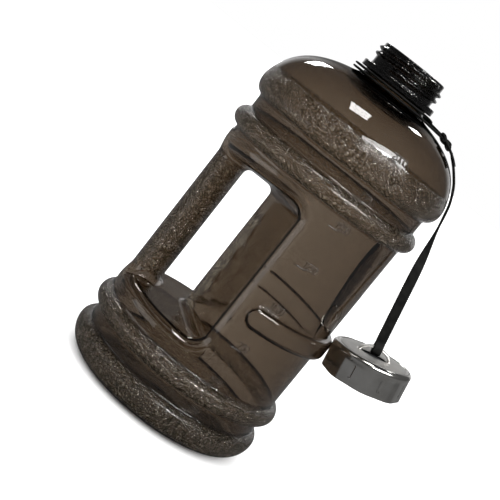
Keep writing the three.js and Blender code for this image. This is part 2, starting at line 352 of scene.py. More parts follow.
def build_knot(yarn):
    """An overhand knot pulled tight."""
    t = np.linspace(0, 2 * math.pi, 240, endpoint=False)
    path = np.stack([
        1.62 * (np.sin(t) + 2 * np.sin(2 * t)), 1.05 * (np.cos(t) - 2 * np.cos(2 * t)), -1.3 * np.sin(3 * t),
    ], 1)
    tilt = math.radians(20)
    turn = np.array((
        (math.cos(tilt), 0, math.sin(tilt)), (0, 1, 0), (-math.sin(tilt), 0, math.cos(tilt)),
    ))
    across = np.cross(tangents(path, True), (0, 0, 1))
    points, faces = braid(path, across, 1.5, 1.05, closed=True, columns=32, yarn=1.1, relief=0.14)
    return piece(
        "lanyard_knot_tied", points, faces, yarn, "lanyard_loop", ("lanyard_knot",),
        place=(turn, np.array(KNOT)),
    )


def build_tail(yarn):
    """The short free end that comes out of the knot."""
    path = smooth_path(TAIL, 0.34)
    across = np.broadcast_to((0.0, 1.0, 0.0), path.shape)
    points, faces = braid(path, across, STRAP_WIDTH / 2, STRAP_THICK / 2)
    return piece("lanyard_end", points, faces, yarn, "lanyard_loop", ("lanyard_tail",))


def build_cap_loop(yarn):
    """The strap's last turn, which goes under the cap's bridge."""
    t = np.linspace(0, 2 * math.pi, 72, endpoint=False)
    path = np.stack([0 * t, 3.65 * np.cos(t), 3.65 * np.sin(t) + 1.1 * np.maximum(np.sin(t), 0) ** 3], 1)
    across = np.broadcast_to((1.0, 0.0, 0.0), path.shape)
    points, faces = braid(path, across, 3.2, 0.64, closed=True, columns=40, relief=0.12)
    centre = CAP_SEAT + CAP_TURN @ (0, 0, HANG_Z)
    return piece(
        "lanyard_cap_turn", points, faces, yarn, "lanyard", ("lanyard_cap_loop",),
        place=(CAP_TURN, centre),
    )


def build_lanyard():
    """The whole lanyard, as one cord that ends in the cap's loop."""
    yarn = braid_yarn()
    strap, path = build_strap(yarn)
    others = [build_neck_loops(yarn), build_knot(yarn), build_tail(yarn), build_cap_loop(yarn)]


build_lanyard()

# ---- signed distances, negative inside ----


def polygon_distance(outline, r, z):
    """Distance to a closed outline that has its last edge on the axis."""
    near = np.full(r.shape, 1e9)
    inside = np.zeros(r.shape, bool)
    for (r0, z0), (r1, z1) in zip(outline, outline[1:] + outline[:1]):
        inside ^= ((z0 > z) != (z1 > z)) & (r < (r1 - r0) * (z - z0) / (z1 - z0 + 1e-12) + r0)
        if r0 == 0 and r1 == 0:
            continue
        dr, dz = r1 - r0, z1 - z0
        t = np.clip(((r - r0) * dr + (z - z0) * dz) / (dr * dr + dz * dz), 0, 1)
        near = np.minimum(near, (r - r0 - t * dr) ** 2 + (z - z0 - t * dz) ** 2)
    return np.where(inside, -1, 1) * np.sqrt(near)


def blurred(table, sigma):
    """A table smoothed along both axes; sigma is in samples."""
    reach = int(3 * sigma + 1)
    weights = np.exp(-0.5 * (np.arange(-reach, reach + 1) / sigma) ** 2)
    weights /= weights.sum()
    for axis in (0, 1):
        pad = [(reach, reach) if a == axis else (0, 0) for a in (0, 1)]
        wide = np.pad(table, pad, mode="reflect" if axis == 0 else "edge")
        size = table.shape[axis]
        table = sum(w * np.take(wide, range(i, i + size), axis) for i, w in enumerate(weights))
    return table


class Turned:
    """The distance to a turned solid, kept as samples of radius and height and read back smoothly."""

    STEP = 0.3

    def __init__(self, outline, r_max, z_min, z_max, soften):
        self.z_min = z_min
        r = np.arange(0, r_max + self.STEP, self.STEP)
        z = np.arange(z_min, z_max + self.STEP, self.STEP)
        values = polygon_distance(outline, *np.meshgrid(r, z, indexing="ij"))
        self.values = np.pad(blurred(values, soften / self.STEP), ((2, 2), (2, 2)), mode="edge")
        self.values[0], self.values[1] = self.values[4], self.values[3]

    def __call__(self, r, z):
        u, v = r / self.STEP + 2, (z - self.z_min) / self.STEP + 2
        i = np.clip(np.floor(u).astype(int), 1, self.values.shape[0] - 3)
        j = np.clip(np.floor(v).astype(int), 1, self.values.shape[1] - 3)
        wu, wv = (self.cubic(np.clip(t, -1, 2)) for t in (u - i, v - j))
        return sum(
            wu[a] * wv[b] * self.values[i + a - 1, j + b - 1] for a in range(4) for b in range(4)
        )

    @staticmethod
    def cubic(t):
        """The weights of four neighbouring samples."""
        return (
            (-t + 2 * t**2 - t**3) / 2, (2 - 5 * t**2 + 3 * t**3) / 2,
            (t + 4 * t**2 - 3 * t**3) / 2, (t**3 - t**2) / 2,
        )


def round_max(a, b, r):
    """What two solids share, with the edge between them rounded to radius r."""
    return np.minimum(-r, np.maximum(a, b)) + np.hypot(np.maximum(r + a, 0), np.maximum(r + b, 0))


def round_min(a, b, r):
    """Two solids joined with a fillet of radius r."""
    return -round_max(-a, -b, r)


def oval(u, v, half_u, half_v):
    """Nearly the distance to an ellipse."""
    k = np.hypot(u / half_u, v / half_v)
    return k * (k - 1) / (np.hypot(u / half_u**2, v / half_v**2) + 1e-9)


def gradient(field, p):
    """How fast a field grows along each axis."""
    reach = 0.3
    g = np.empty_like(p)
    for axis in range(3):
        e = np.eye(3)[axis] * reach
        g[:, axis] = field(p + e) - field(p - e)
    return g / (2 * reach)


def surface(field, low, high, step):
    """The zero surface of a field: points settled on it, and quads. It is open where the box cuts it."""
    axes = [np.arange(a, b + step / 2, step) for a, b in zip(low, high)]
    shape = tuple(len(a) for a in axes)
    values = np.empty(shape)
    flat = np.meshgrid(axes[1], axes[2], indexing="ij")
    for i, x in enumerate(axes[0]):
        layer = np.stack(np.broadcast_arrays(x, *flat), -1).reshape(-1, 3).astype(float)
        values[i] = field(layer).reshape(shape[1:])
    inside = values < 0
    corners = [(i, j, k) for i in (0, 1) for j in (0, 1) for k in (0, 1)]
    count = sum(
        inside[tuple(slice(o, n - 1 + o) for o, n in zip(c, shape))].astype(np.int8) for c in corners
    )
    cells = np.argwhere((count > 0) & (count < 8))
    number = np.full(tuple(n - 1 for n in shape), -1)
    number[tuple(cells.T)] = np.arange(len(cells))
    total, hits = np.zeros((len(cells), 3)), np.zeros(len(cells))
    for a in corners:
        for axis in range(3):
            if a[axis]:
                continue
            b = tuple(v + (k == axis) for k, v in enumerate(a))
            va, vb = values[tuple((cells + a).T)], values[tuple((cells + b).T)]
            crosses = (va < 0) != (vb < 0)
            t = np.where(crosses, va / np.where(crosses, va - vb, 1), 0)
            total += (np.array(a, float) + np.outer(t, np.eye(3)[axis])) * crosses[:, None]
            hits += crosses
    points = np.array(low) + (cells + total / hits[:, None]) * step
    quads = []
    for axis in range(3):
        u, v = (axis + 1) % 3, (axis + 2) % 3
        here, there = [slice(None)] * 3, [slice(None)] * 3
        here[axis], there[axis] = slice(0, -1), slice(1, None)
        edge = np.argwhere(inside[tuple(here)] != inside[tuple(there)])
        kept = [(edge[:, k] > 0) & (edge[:, k] < shape[k] - 1) for k in (u, v)]
        edge = edge[kept[0] & kept[1]]
        du, dv = np.eye(3, dtype=int)[u], np.eye(3, dtype=int)[v]
        quad = np.stack([number[tuple((edge - o).T)] for o in (du + dv, dv, 0 * du, du)], 1)
        flip = ~inside[tuple(edge.T)]
        quad[flip] = quad[flip][:, ::-1]
        quads.append(quad)
    for _ in range(3):
        g = gradient(field, points)
        move = -(field(points) / np.maximum((g * g).sum(1), 0.2))[:, None] * g
        length = np.linalg.norm(move, axis=1, keepdims=True)
        points = points + move * np.minimum(1, 0.5 * step / np.maximum(length, 1e-9))
    return points, np.concatenate(quads)


def outward(field, points):
    """The unit normals of a field's surface."""
    g = gradient(field, points)
    return g / np.linalg.norm(g, axis=1, keepdims=True)


# ---- the bottle's shape, in millimetres about its axis ----

R_BODY, R_RING, R_BASE = 61.5, 67.3, 66.8
R_NECK, R_BORE = 21.6, 19.3
NECK_JOIN = 235.9  # the body's moulding is drawn up to here, just under the flange
OUTLINE_SOFTENING = 0.55

# the pocket: its wall, roof and floor at the mould line, and how they go from there to the outside
WALL_X, WALL_SLOPE, WALL_UPRIGHT = -21.2, 0.429, 0.919
ROOF_Z, ROOF_LIFT, ROOF_UPRIGHT = 146.8, 8.6, 0.99
FLOOR_Z, FLOOR_DROP = 57, 1.7
CORNER, CORNER_GROWS = 4.6, 5.4
# the fingers' hollows in its wall
DENTS, DENT_Y, DENT_R = (121.5, 104.0, 86.5, 69.0), 24.0, 9.2
DENT_DEPTH, DENT_HALF_Z, DENT_HALF_Y = 0.9, 7, 14
# the bevel along its edge: how far it cuts back, how steep it is, and how round its own edges are
BEVEL, BEVEL_STEEP, BEVEL_ROUND, EDGE_ROUND = 2.5, 1.67, 1.8, 0.8

GRIP_X, GRIP_HALF, GRIP_Z, GRIP_REACH = -50.9, (10.2, 17.5), 101, 58
GRIP_FILLET = 4.5
RIB_Z, RIB_HALF, RIB_RISE, RIB_ROUND, RIB_FILLET = 89.9, 6.9, 4.6, 3.4, 1.0
RIB_FRONT, RIB_BACK = 17.5, 11.5  # its ends, in degrees from -Y and +Y

WALL, FLANK_EXTRA, POCKET_EXTRA, NECK_EXTRA = 1.5, 1.9, 0.4, 4.5  # the plastic's thickness, and what is added
FLANK_ANGLE, FLANK_Z = 55.5, 134  # the middle of the thick patch, in degrees from -Y and by height


def ring(z):
    """One of the two rings round the body."""
    return arc(R_BODY - 0.4, z, R_RING - R_BODY + 0.4, 6.3, -86, 86, 24)


# the dome's outline, with the unevenness between its points averaged out
dome = smooth_path([
    (67.2, 0, 199.2), (66.4, 0, 203.2), (65.1, 0, 206.4), (63.4, 0, 210), (60.9, 0, 214.3), (57.9, 0, 218),
    (52.2, 0, 222.9), (46, 0, 226.4), (38, 0, 229.6), (32, 0, 231.3), (27, 0, 232.4),
], 0.8)
for _ in range(60):
    dome[1:-1] += (dome[:-2] - 2 * dome[1:-1] + dome[2:]) / 4

OUTSIDE = [
    (0, 5.4), (20, 5.2), (38, 4.2), (43, 2.8), (47, 0.9), (49.5, 0.1), (51, 0), (53, 0),
    *arc(52.6, 14.2, R_BASE - 52.6, 14.2, -84, 0, 24),
    *arc(R_BODY - 0.4, 14.6, R_BASE - R_BODY + 0.4, 5.6, 8, 86, 16),
    *ring(35.6), *ring(171.1),
    *arc(R_BODY - 0.6, 196, R_RING - R_BODY + 0.6, 8.6, -84, 0, 20),
    *dome[:, ::2].tolist(), (25.8, 232.8), (24.1, 233.2), (22.8, 234.2), (21.8, 235.8),
    (R_NECK, 237.8), (R_NECK, 244), (0, 244),
]
turned_body = Turned(OUTSIDE, 76, -8, 250, OUTLINE_SOFTENING)


def pocket(x, y, z):
    """The hand pocket, which runs through the jug in front of and behind the grip."""
    side = np.sqrt(y * y + 9) - 1.5
    beside = np.exp(-(((np.abs(y) - DENT_Y - 5) / DENT_HALF_Y) ** 2))
    dents = DENT_DEPTH * beside * sum(np.exp(-(((z - height) / DENT_HALF_Z) ** 4)) for height in DENTS)
    wall = (x - WALL_X - WALL_SLOPE * side - dents) * WALL_UPRIGHT
    out = np.clip(side / R_BODY, 0, 1.3)
    roof = (z - ROOF_Z - ROOF_LIFT * out) * ROOF_UPRIGHT
    floor = FLOOR_Z - FLOOR_DROP * out - z
    corner = CORNER + CORNER_GROWS * np.minimum(out, 1)
    return round_max(round_max(wall, roof, corner), round_max(wall, floor, corner), 0.01)


def grip(x, y, z):
    """The oval column of the grip."""
    return np.maximum(oval(x - GRIP_X, y, *GRIP_HALF), np.abs(z - GRIP_Z) - GRIP_REACH)


def rib(x, y, z):
    """A band with round ends that stands out on the side opposite the handle."""
    end = np.radians(90 - np.where(y < 0, RIB_FRONT, RIB_BACK))
    past = np.maximum(np.abs(np.arctan2(y, x)) - end, 0) * R_BODY
    return round_max(np.hypot(past, z - RIB_Z) - RIB_HALF, np.hypot(x, y) - R_BODY - RIB_RISE, RIB_ROUND)


def bevelled(body, cut):
    """The body outside a cut, with a flat bevel along the edge between them."""
    bevel = (body + cut) / BEVEL_STEEP + BEVEL
    return round_max(round_max(body, cut, EDGE_ROUND), bevel, BEVEL_ROUND)


def outer(p):
    """The outside of the whole moulding."""
    x, y, z = p.T
    body = turned_body(np.hypot(x, y), z)
    middle = (z > 30) & (z < 185)
    if middle.any():
        here = x[middle], y[middle], z[middle]
        b = bevelled(body[middle], -pocket(*here))
        b = round_min(b, grip(*here), GRIP_FILLET)
        body[middle] = round_min(b, rib(*here), RIB_FILLET)
    return body


def thickness(x, y, z):
    """The blow-moulded wall: thicker round the pocket and the neck, and in a long patch on one flank."""
    around, up = np.degrees(np.arctan2(x, -y)), z - FLANK_Z
    patch = np.hypot((around - FLANK_ANGLE + 0.09 * up) / (6 + 0.07 * up), up / 34)
    flank = (1 - ease(patch, 0.6, 1.1)) * (z > 60)
    beside = (1 - ease(pocket(x, y, z), 2.2, 7)) * (z > 60) * (z < 150) * ease(x, -30, -24)
    top = (1 - ease(np.hypot(1.2 * x, y), 32.5, 36.5)) * (z > 220)
    return WALL + FLANK_EXTRA * flank + POCKET_EXTRA * beside + NECK_EXTRA * top


def inner(p):
    """The cavity's surface, which the neck's bore opens into."""
    bore = np.maximum(np.hypot(p[:, 0], p[:, 1]) - R_BORE, 224 - p[:, 2])
    return round_min(outer(p) + thickness(*p.T), bore, 1.5)


def zipped(a, b, angle_a, angle_b):
    """Triangles that join two loops of points, both sorted by angle."""
    faces, i, j = [], 0, 0
    while i < len(a) or j < len(b):
        next_a = angle_a[(i + 1) % len(a)] + 2 * math.pi * ((i + 1) // len(a))
        next_b = angle_b[(j + 1) % len(b)] + 2 * math.pi * ((j + 1) // len(b))
        if j >= len(b) or (i < len(a) and next_a <= next_b):
            faces.append((a[i % len(a)], a[(i + 1) % len(a)], b[j % len(b)]))
            i += 1
        else:
            faces.append((a[i % len(a)], b[(j + 1) % len(b)], b[j % len(b)]))
            j += 1
    return faces


def rim_edge(faces):
    """The edges that have one face only, as directed pairs."""
    quads = np.asarray(faces)
    pairs = np.concatenate([quads[:, [k, (k + 1) % 4]] for k in range(4)])
    keys = np.sort(pairs, 1)
    _, first, count = np.unique(keys, axis=0, return_index=True, return_counts=True)
    return pairs[first[count == 1]]


STEP = 1.25  # the grid that the surfaces are found on, and its box, which ends at the neck
LOW = (-70.0, -70.0, -3.0)
TOP_ROWS = math.ceil((NECK_JOIN - LOW[2]) / STEP)
HIGH = (70.0, 70.0, LOW[2] + TOP_ROWS * STEP)


def bottle_mesh():
    """The outside and the cavity as one shell, closed by a ring of triangles at the neck."""
    outside, outside_quads = surface(outer, LOW, HIGH, STEP)
    inside, inside_quads = surface(inner, LOW, HIGH, STEP)
    loops = []
    for points, quads in ((outside, outside_quads), (inside, inside_quads)):
        loop = np.unique(rim_edge(quads))
        angle = np.arctan2(points[loop, 1], points[loop, 0])
        loop = loop[np.argsort(angle)]
        points[loop, 2] = NECK_JOIN
        loops.append((loop, np.sort(angle)))
    normals = np.concatenate([outward(outer, outside), -outward(inner, inside)])
    points = np.concatenate([outside, inside])
    offset = len(outside)
    faces = outside_quads.tolist() + (inside_quads[:, ::-1] + offset).tolist()
    (a, angle_a), (b, angle_b) = loops
    faces += zipped(a.tolist(), (b + offset).tolist(), angle_a, angle_b)
    return points, faces, normals, offset


# ---- the bottle's plastic ----

SMOKE = (0.24, 0.13, 0.0, 1)  # the colour that the plastic lets through
BODY_DENSITY, NECK_DENSITY = 950.0, 2600.0
GRAIN_SCALE, GRAIN_DEPTH = 500.0, 0.00034  # in cells to a metre, and metres
WARP_SCALE, WARP_REACH = 380.0, 0.0030
# the grain's creases are painted darker than its pebble tops: painted shade; the tops carry the plastic's
# warm tint
CREASE_PAINTED_SHADE, PEBBLE_TONE = (0.30, 0.25, 0.18), (1.0, 0.82, 0.60)


def smoke_plastic(name, density, grained=False, polish=(0.015, 0.05)):
    """Translucent smoke-brown plastic; the grain attribute says where its surface is leather-grained, with
    painted shade darkening the grain's creases.
    """
    material, tree, shader, output = nodes_of(name)
    shader.inputs["Transmission Weight"].default_value = 1
    shader.inputs["IOR"].default_value = 1.5
    place = add(tree, "TexCoord").outputs["Object"]
    cloud = add(tree, "TexNoise", Vector=place, Scale=16.0, Detail=0.0)
    rough = add(tree, "MapRange", Value=cloud.outputs["Fac"], **{"To Min": polish[0], "To Max": polish[1]})
    ripple = add(tree, "Bump", Strength=0.05, Distance=0.0012, Height=cloud.outputs["Fac"])
    if grained:
        grain = add(tree, "Attribute", {"attribute_name": "grain"}).outputs["Fac"]
        where = add(tree, "Math", {"operation": "MINIMUM"}, i0=grain, i1=1.0).outputs[0]
        warp = add(tree, "TexNoise", Vector=place, Scale=WARP_SCALE, Detail=1.0)
        push = add(tree, "VectorMath", {"operation": "SCALE"}, i0=warp.outputs["Color"], Scale=WARP_REACH)
        moved = add(tree, "VectorMath", {"operation": "ADD"}, i0=place, i1=push.outputs[0])
        cells = add(
            tree, "TexVoronoi", {"feature": "DISTANCE_TO_EDGE"}, Vector=moved.outputs[0], Scale=GRAIN_SCALE
        )
        pebble = add(
            tree, "MapRange", {"interpolation_type": "SMOOTHSTEP"}, Value=cells.outputs["Distance"],
            **{"From Min": 0.03, "From Max": 0.30},
        )
        height = add(tree, "Math", {"operation": "MULTIPLY"}, i0=pebble.outputs[0], i1=where)
        ripple = add(
            tree, "Bump", Strength=1.0, Distance=GRAIN_DEPTH, Height=height.outputs[0],
            Normal=ripple.outputs[0],
        )
        # the base colour is painted darker in the grain's creases: painted shade, over the warm tint of the
        # pebble tops
        painted_crease_shade = add(tree, "Mix", {"data_type": "RGBA"}, i0=where, i6=(1, 1, 1, 1))
        shade = tones(tree, pebble.outputs[0], 0.0, CREASE_PAINTED_SHADE, 0.9, PEBBLE_TONE)
        tree.links.new(shade, painted_crease_shade.inputs[7])
        tree.links.new(painted_crease_shade.outputs[2], shader.inputs["Base Color"])
        scuff = add(tree, "MapRange", Value=warp.outputs["Fac"], **{"To Min": 0.04, "To Max": 0.085})
        raised = add(tree, "MapRange", Value=pebble.outputs[0], **{"To Min": 0.35, "To Max": 1.0})
        haze = add(tree, "Math", {"operation": "MULTIPLY"}, i0=grain, i1=scuff.outputs[0])
        haze = add(tree, "Math", {"operation": "MULTIPLY"}, i0=haze.outputs[0], i1=raised.outputs[0])
        clear = add(tree, "Math", {"operation": "SUBTRACT"}, i0=1.0, i1=haze.outputs[0])
        tree.links.new(clear.outputs[0], shader.inputs["Transmission Weight"])
        rough = add(tree, "Math", {"operation": "MULTIPLY_ADD"}, i0=where, i1=0.07, i2=rough.outputs[0])
    else:
        shader.inputs["Base Color"].default_value = (1, 1, 1, 1)
    tree.links.new(ripple.outputs[0], shader.inputs["Normal"])
    tree.links.new(rough.outputs[0], shader.inputs["Roughness"])
    absorb = add(tree, "VolumeAbsorption", Density=density)
    absorb.inputs["Color"].default_value = SMOKE
    tree.links.new(absorb.outputs[0], output.inputs["Volume"])
    return material


GRAINED = (187.4, 205.6), (164.4, 177.8), (28.8, 42.3), (2, 20.4)  # the bands, by height


def grain_mask(p):
    """1 where the moulding is leather-grained, 3 on the chalky strip in the pocket, and 0 elsewhere."""
    x, y, z = p.T
    r = np.hypot(x, y)

    def band(low, high):
        return ease(z, low - 0.4, low + 0.4) * (1 - ease(z, high - 0.4, high + 0.4))

    round_side = ease(r, R_BODY + 0.2, R_BODY + 1.0)
    rings = sum(band(*heights) for heights in GRAINED) * round_side
    on_grip = (1 - ease(grip(x, y, z), 0.4, 1.2)) * band(62, 144.5)
    hollow = np.min([np.hypot(np.abs(y) - DENT_Y, (z - height) * 1.02) for height in DENTS], 0)
    smooth = (1 - ease(hollow, DENT_R - 0.6, DENT_R + 0.6)) + ease(np.abs(y), DENT_Y - 1, DENT_Y + 1)
    side = np.abs(pocket(x, y, z)) < 2.5
    strip = side * np.clip(1 - smooth, 0, 1) * band(60, 128) * (x > -25)
    return np.clip(rings + on_grip, 0, 1) + 3 * strip


def build_bottle():
    """The whole moulding below the flange, grained on its outside only."""
    points, faces, normals, first_inside = bottle_mesh()
    made = piece(
        "bottle", points, faces, smoke_plastic("smoke", BODY_DENSITY, grained=True), "jug",
        ("bottle_base", "bottle_wall", "bottle_handle", "bottle_shoulder"), normals,
    )
    mask = grain_mask(points)
    mask[first_inside:] = 0
    mark(made, "grain", mask)


build_bottle()

# ---- the graduations: a tick and a number at every quarter litre ----

STROKES = {  # each figure as one stroke in a cell 1 wide and 2 high
    "0": [*arc(0.5, 1.5, 0.5, 0.5, 0, 180, 8), *arc(0.5, 0.5, 0.5, 0.5, 180, 360, 8), (1, 1.5)],
    "1": [(0.2, 1.6), (0.6, 2), (0.6, 0)],
    "2": [*arc(0.5, 1.5, 0.5, 0.5, 170, -30, 8), (0, 0), (1, 0)],
    "5": [(0.95, 2), (0.15, 2), (0.05, 1.15), *arc(0.45, 0.68, 0.55, 0.66, 120, -150, 10)],
    "7": [(0, 2), (1, 2), (0.35, 0)],
}
MARKS = {250: 22, 500: 42.5, 750: 68.6, 1000: 98, 1250: 128, 1500: 156.6, 1750: 178, 2000: 205}
TICK_FROM, TICK_TO, FIGURES_FROM = math.radians(15.3), math.radians(22), math.radians(18.6)
FIGURE, FIGURE_STEP, FIGURE_LIFT = 2.0, 2.55, 1.1  # a cell's width, the next cell, and above the tick
MARK_HALF_WIDE, MARK_HALF_HIGH, MARK_MIDDLE = 0.34, 0.2, 0.17


def on_wall(points, lift):
    """Points (along the wall, height, out) settled that far out of the bottle's own surface."""
    along, height, out = np.asarray(points, float).T
    angle = along / R_BODY
    p = np.stack([R_BODY * np.sin(angle), -R_BODY * np.cos(angle), height], 1)
    for _ in range(6):
        g = gradient(outer, p)
        p = p + ((out + lift - outer(p)) / (g * g).sum(1))[:, None] * g
    return p


def build_marks():
    """The raised ticks and figures, each a bead of plastic that follows the wall."""
    ring_of = arc(0, MARK_HALF_HIGH, MARK_HALF_WIDE, MARK_HALF_HIGH, 0, 315, 7)
    meshes = []
    for number, height in MARKS.items():
        lines = [[(TICK_FROM * R_BODY, height), (TICK_TO * R_BODY, height)]]
        for i, figure in enumerate(str(number)):
            left = FIGURES_FROM * R_BODY + i * FIGURE_STEP
            foot = height + FIGURE_LIFT
            lines.append([(left + x * FIGURE, foot + y * FIGURE) for x, y in STROKES[figure]])
        for line in lines:
            if len(line) > 8:
                path = smooth_path([(x, y, 0) for x, y in line], 0.3)
            else:
                straight = [np.linspace(a, b, 9)[:-1] for a, b in zip(line, line[1:])]
                path = np.pad(np.concatenate([*straight, line[-1:]]), ((0, 0), (0, 1)))
            along = tangents(path, False)
            beside = np.cross((0, 0, 1), along)
            beside /= np.linalg.norm(beside, axis=1, keepdims=True)
            points = np.concatenate([
                p + [u * b + (0, 0, h) for u, h in ring_of] for p, b in zip(path, beside)
            ] + [[path[0] + (0, 0, MARK_MIDDLE), path[-1] + (0, 0, MARK_MIDDLE)]])
            n = len(ring_of)
            faces = grid_faces(len(path), n, close_columns=True)
            last = (len(path) - 1) * n
            faces += [(len(points) - 2, (k + 1) % n, k) for k in range(n)]
            faces += [(len(points) - 1, last + k, last + (k + 1) % n) for k in range(n)]
            meshes.append((on_wall(points, 0.03), faces))
    points, faces = joined(*meshes)
    frosted = moulded("mark_smoke", (0.15, 0.125, 0.10), (0.22, 0.18, 0.15), 0.25, 900.0)
    frosted.node_tree.nodes["Principled BSDF"].inputs["Transmission Weight"].default_value = 0.88
    piece("graduations", points, faces, frosted, "jug")


build_marks()

# ---- the neck, with its flange and screw thread ----

RIM = 256.2
THREAD_PITCH, THREAD_HALF, THREAD_DEPTH, THREAD_TURNS = 3.95, 1.4, 1.9, 2.25


def thread(angle, z, low, turns, start):
    """How far a right-hand thread stands out, from 0 to 1."""
    turn = ((angle - start) % (2 * math.pi)) / (2 * math.pi)
    out = 0.0
    for lap in range(math.ceil(turns) + 1):
        along = turn + lap
        fade = min(1.0, max(0.0, along / 0.03), max(0.0, (turns - along) / 0.03))
        away = min(1.0, abs(z - low - along * THREAD_PITCH) / THREAD_HALF)
        out = max(out, fade * math.cos(away * math.pi / 2) ** 0.9)
    return out


def build_neck():
    """The flange and the threaded neck, which take up where the bottle's moulding stops."""
    profile = [
        (R_BORE, 236.6), (R_BORE + 0.3, 236.1), (R_NECK - 0.2, 236.1), (R_NECK, 236.4), (R_NECK, 237.3),
        (22.1, 237.8), (25.2, 237.8), (25.6, 238.0), (25.7, 238.4), (25.7, 241), (25.6, 241.4),
        (25.2, 241.6), (22.2, 241.6), (21.75, 241.9), *((R_NECK, h) for h in np.arange(242.4, 255.4, 0.22)),
        (R_NECK, 255.6), (R_NECK - 0.2, 256.0), (R_NECK - 0.6, RIM), (R_BORE + 0.6, RIM),
        (R_BORE + 0.15, 256.0), (R_BORE, 255.6),
    ]
    start = math.radians(-120)

    def swell(t, z):
        return THREAD_DEPTH * thread(t, z, 245.0, THREAD_TURNS, start) * (242.3 < z < 255.5)

    points, faces = turned(profile[::-1], 192, swell)
    nearly_black = smoke_plastic("neck_smoke", NECK_DENSITY, polish=(0.08, 0.16))
    piece("neck", points, faces, nearly_black, "jug", ("bottle_neck",))


build_neck()

# ---- the cap, about the middle of its top plate ----

CAP_R, CAP_HEIGHT, CAP_RIM, CAP_WALL = 26.2, 18.8, 2.6, 0.8
HOLLOWS, HOLLOW_DEPTH, HOLLOW_SPREAD = 8, 1.0, math.radians(18.5)
PRESS_Z, PRESS_REACH, PRESS_HALF, PRESS_DEPTH = -10.2, 3.3, 0.9, 0.26  # a mark pressed into each hollow
GROOVE_R, GROOVE_HALF, GROOVE_DEPTH = 22.5, 0.42, 0.45  # the ring round the top
SLOT_HALF = 8.4, 5.4
BRIDGE_HALF, BRIDGE_THICK, BRIDGE_WIDTH = (10, 5.6), 1.5, 5.2
CAP_STEP = 0.42
LINER_BORE, LINER_R = 23.65, 24.25
GASKET_R = 19.1, 22.1


def from_hollow(x, y):
    """The angle from the middle of the nearest hollow."""
    return np.arctan2(y, x) % (2 * math.pi / HOLLOWS) - math.pi / HOLLOWS


def cap_solid(x, y, z):
    """The cap's outside as if it were solid: a rolled rim, and a skirt with shallow hollows."""
    hollow = np.cos(np.clip(from_hollow(x, y) / HOLLOW_SPREAD, -1, 1) * math.pi / 2) ** 1.3
    rolled = 0.12 * np.exp(-(((z + 2.4) / 1.6) ** 2))
    radius = CAP_R - HOLLOW_DEPTH * hollow * ease(-z, 3.4, 5.6) + rolled
    return round_max(np.hypot(x, y) - radius, z, CAP_RIM)


def pressed_marks(x, y, z):
    """The distance to the short upright groove in the middle of each hollow."""
    along = np.maximum(np.abs(z - PRESS_Z) - PRESS_REACH, 0)
    return np.hypot(from_hollow(x, y) * CAP_R, along) - PRESS_HALF


def cap_field(p):
    """The steel shell, with its slot and the bridge over it."""
    x, y, z = p.T
    r = np.hypot(x, y)
    solid = cap_solid(x, y, z)
    cavity = solid + CAP_WALL
    pressed = PRESS_DEPTH * (1 - ease(pressed_marks(x, y, z), -0.5, 0.5)) * (r > 20)
    groove = GROOVE_DEPTH * np.exp(-(((r - GROOVE_R) / GROOVE_HALF) ** 2)) * (z > -1.6)
    shell = round_max(solid + pressed + groove, -(cavity + 0.6 * groove), 0.3)
    shell = round_max(shell, -CAP_HEIGHT - z, 0.3)
    shell = round_max(shell, -oval(x, y, *SLOT_HALF), 0.5)
    arch = np.abs(oval(x, z + 0.5, *BRIDGE_HALF)) - BRIDGE_THICK / 2
    bridge = round_max(arch, np.abs(y) - BRIDGE_WIDTH / 2, 0.6)
    bridge = np.maximum(bridge, -CAP_WALL - z)
    return round_min(shell, bridge, 1.1)


def steel():
    """Stainless steel: the satin attribute is 1 on the blasted top and 0 on the polished rim and skirt."""
    material, tree, shader, _ = nodes_of("steel")
    satin = add(tree, "Attribute", {"attribute_name": "satin"}).outputs["Fac"]
    place = add(tree, "TexCoord").outputs["Object"]
    blast = add(tree, "TexNoise", Vector=place, Scale=2400.0, Detail=2.0)
    smear = add(tree, "TexNoise", Vector=place, Scale=90.0, Detail=4.0)
    tone = tones(tree, smear.outputs["Fac"], 0.3, (0.50, 0.485, 0.46), 0.7, (0.64, 0.63, 0.61))
    tree.links.new(tone, shader.inputs["Base Color"])
    shader.inputs["Metallic"].default_value = 1
    polish = add(tree, "MapRange", Value=smear.outputs["Fac"], **{"To Min": 0.10, "To Max": 0.22})
    rough = add(tree, "Math", {"operation": "MULTIPLY_ADD"}, i0=satin, i1=0.26, i2=polish.outputs[0])
    tree.links.new(rough.outputs[0], shader.inputs["Roughness"])
    depth = add(tree, "Math", {"operation": "MULTIPLY"}, i0=satin, i1=0.5)
    bump = add(tree, "Bump", Distance=0.00005, Height=blast.outputs["Fac"])
    tree.links.new(depth.outputs[0], bump.inputs["Strength"])
    tree.links.new(bump.outputs[0], shader.inputs["Normal"])
    return material


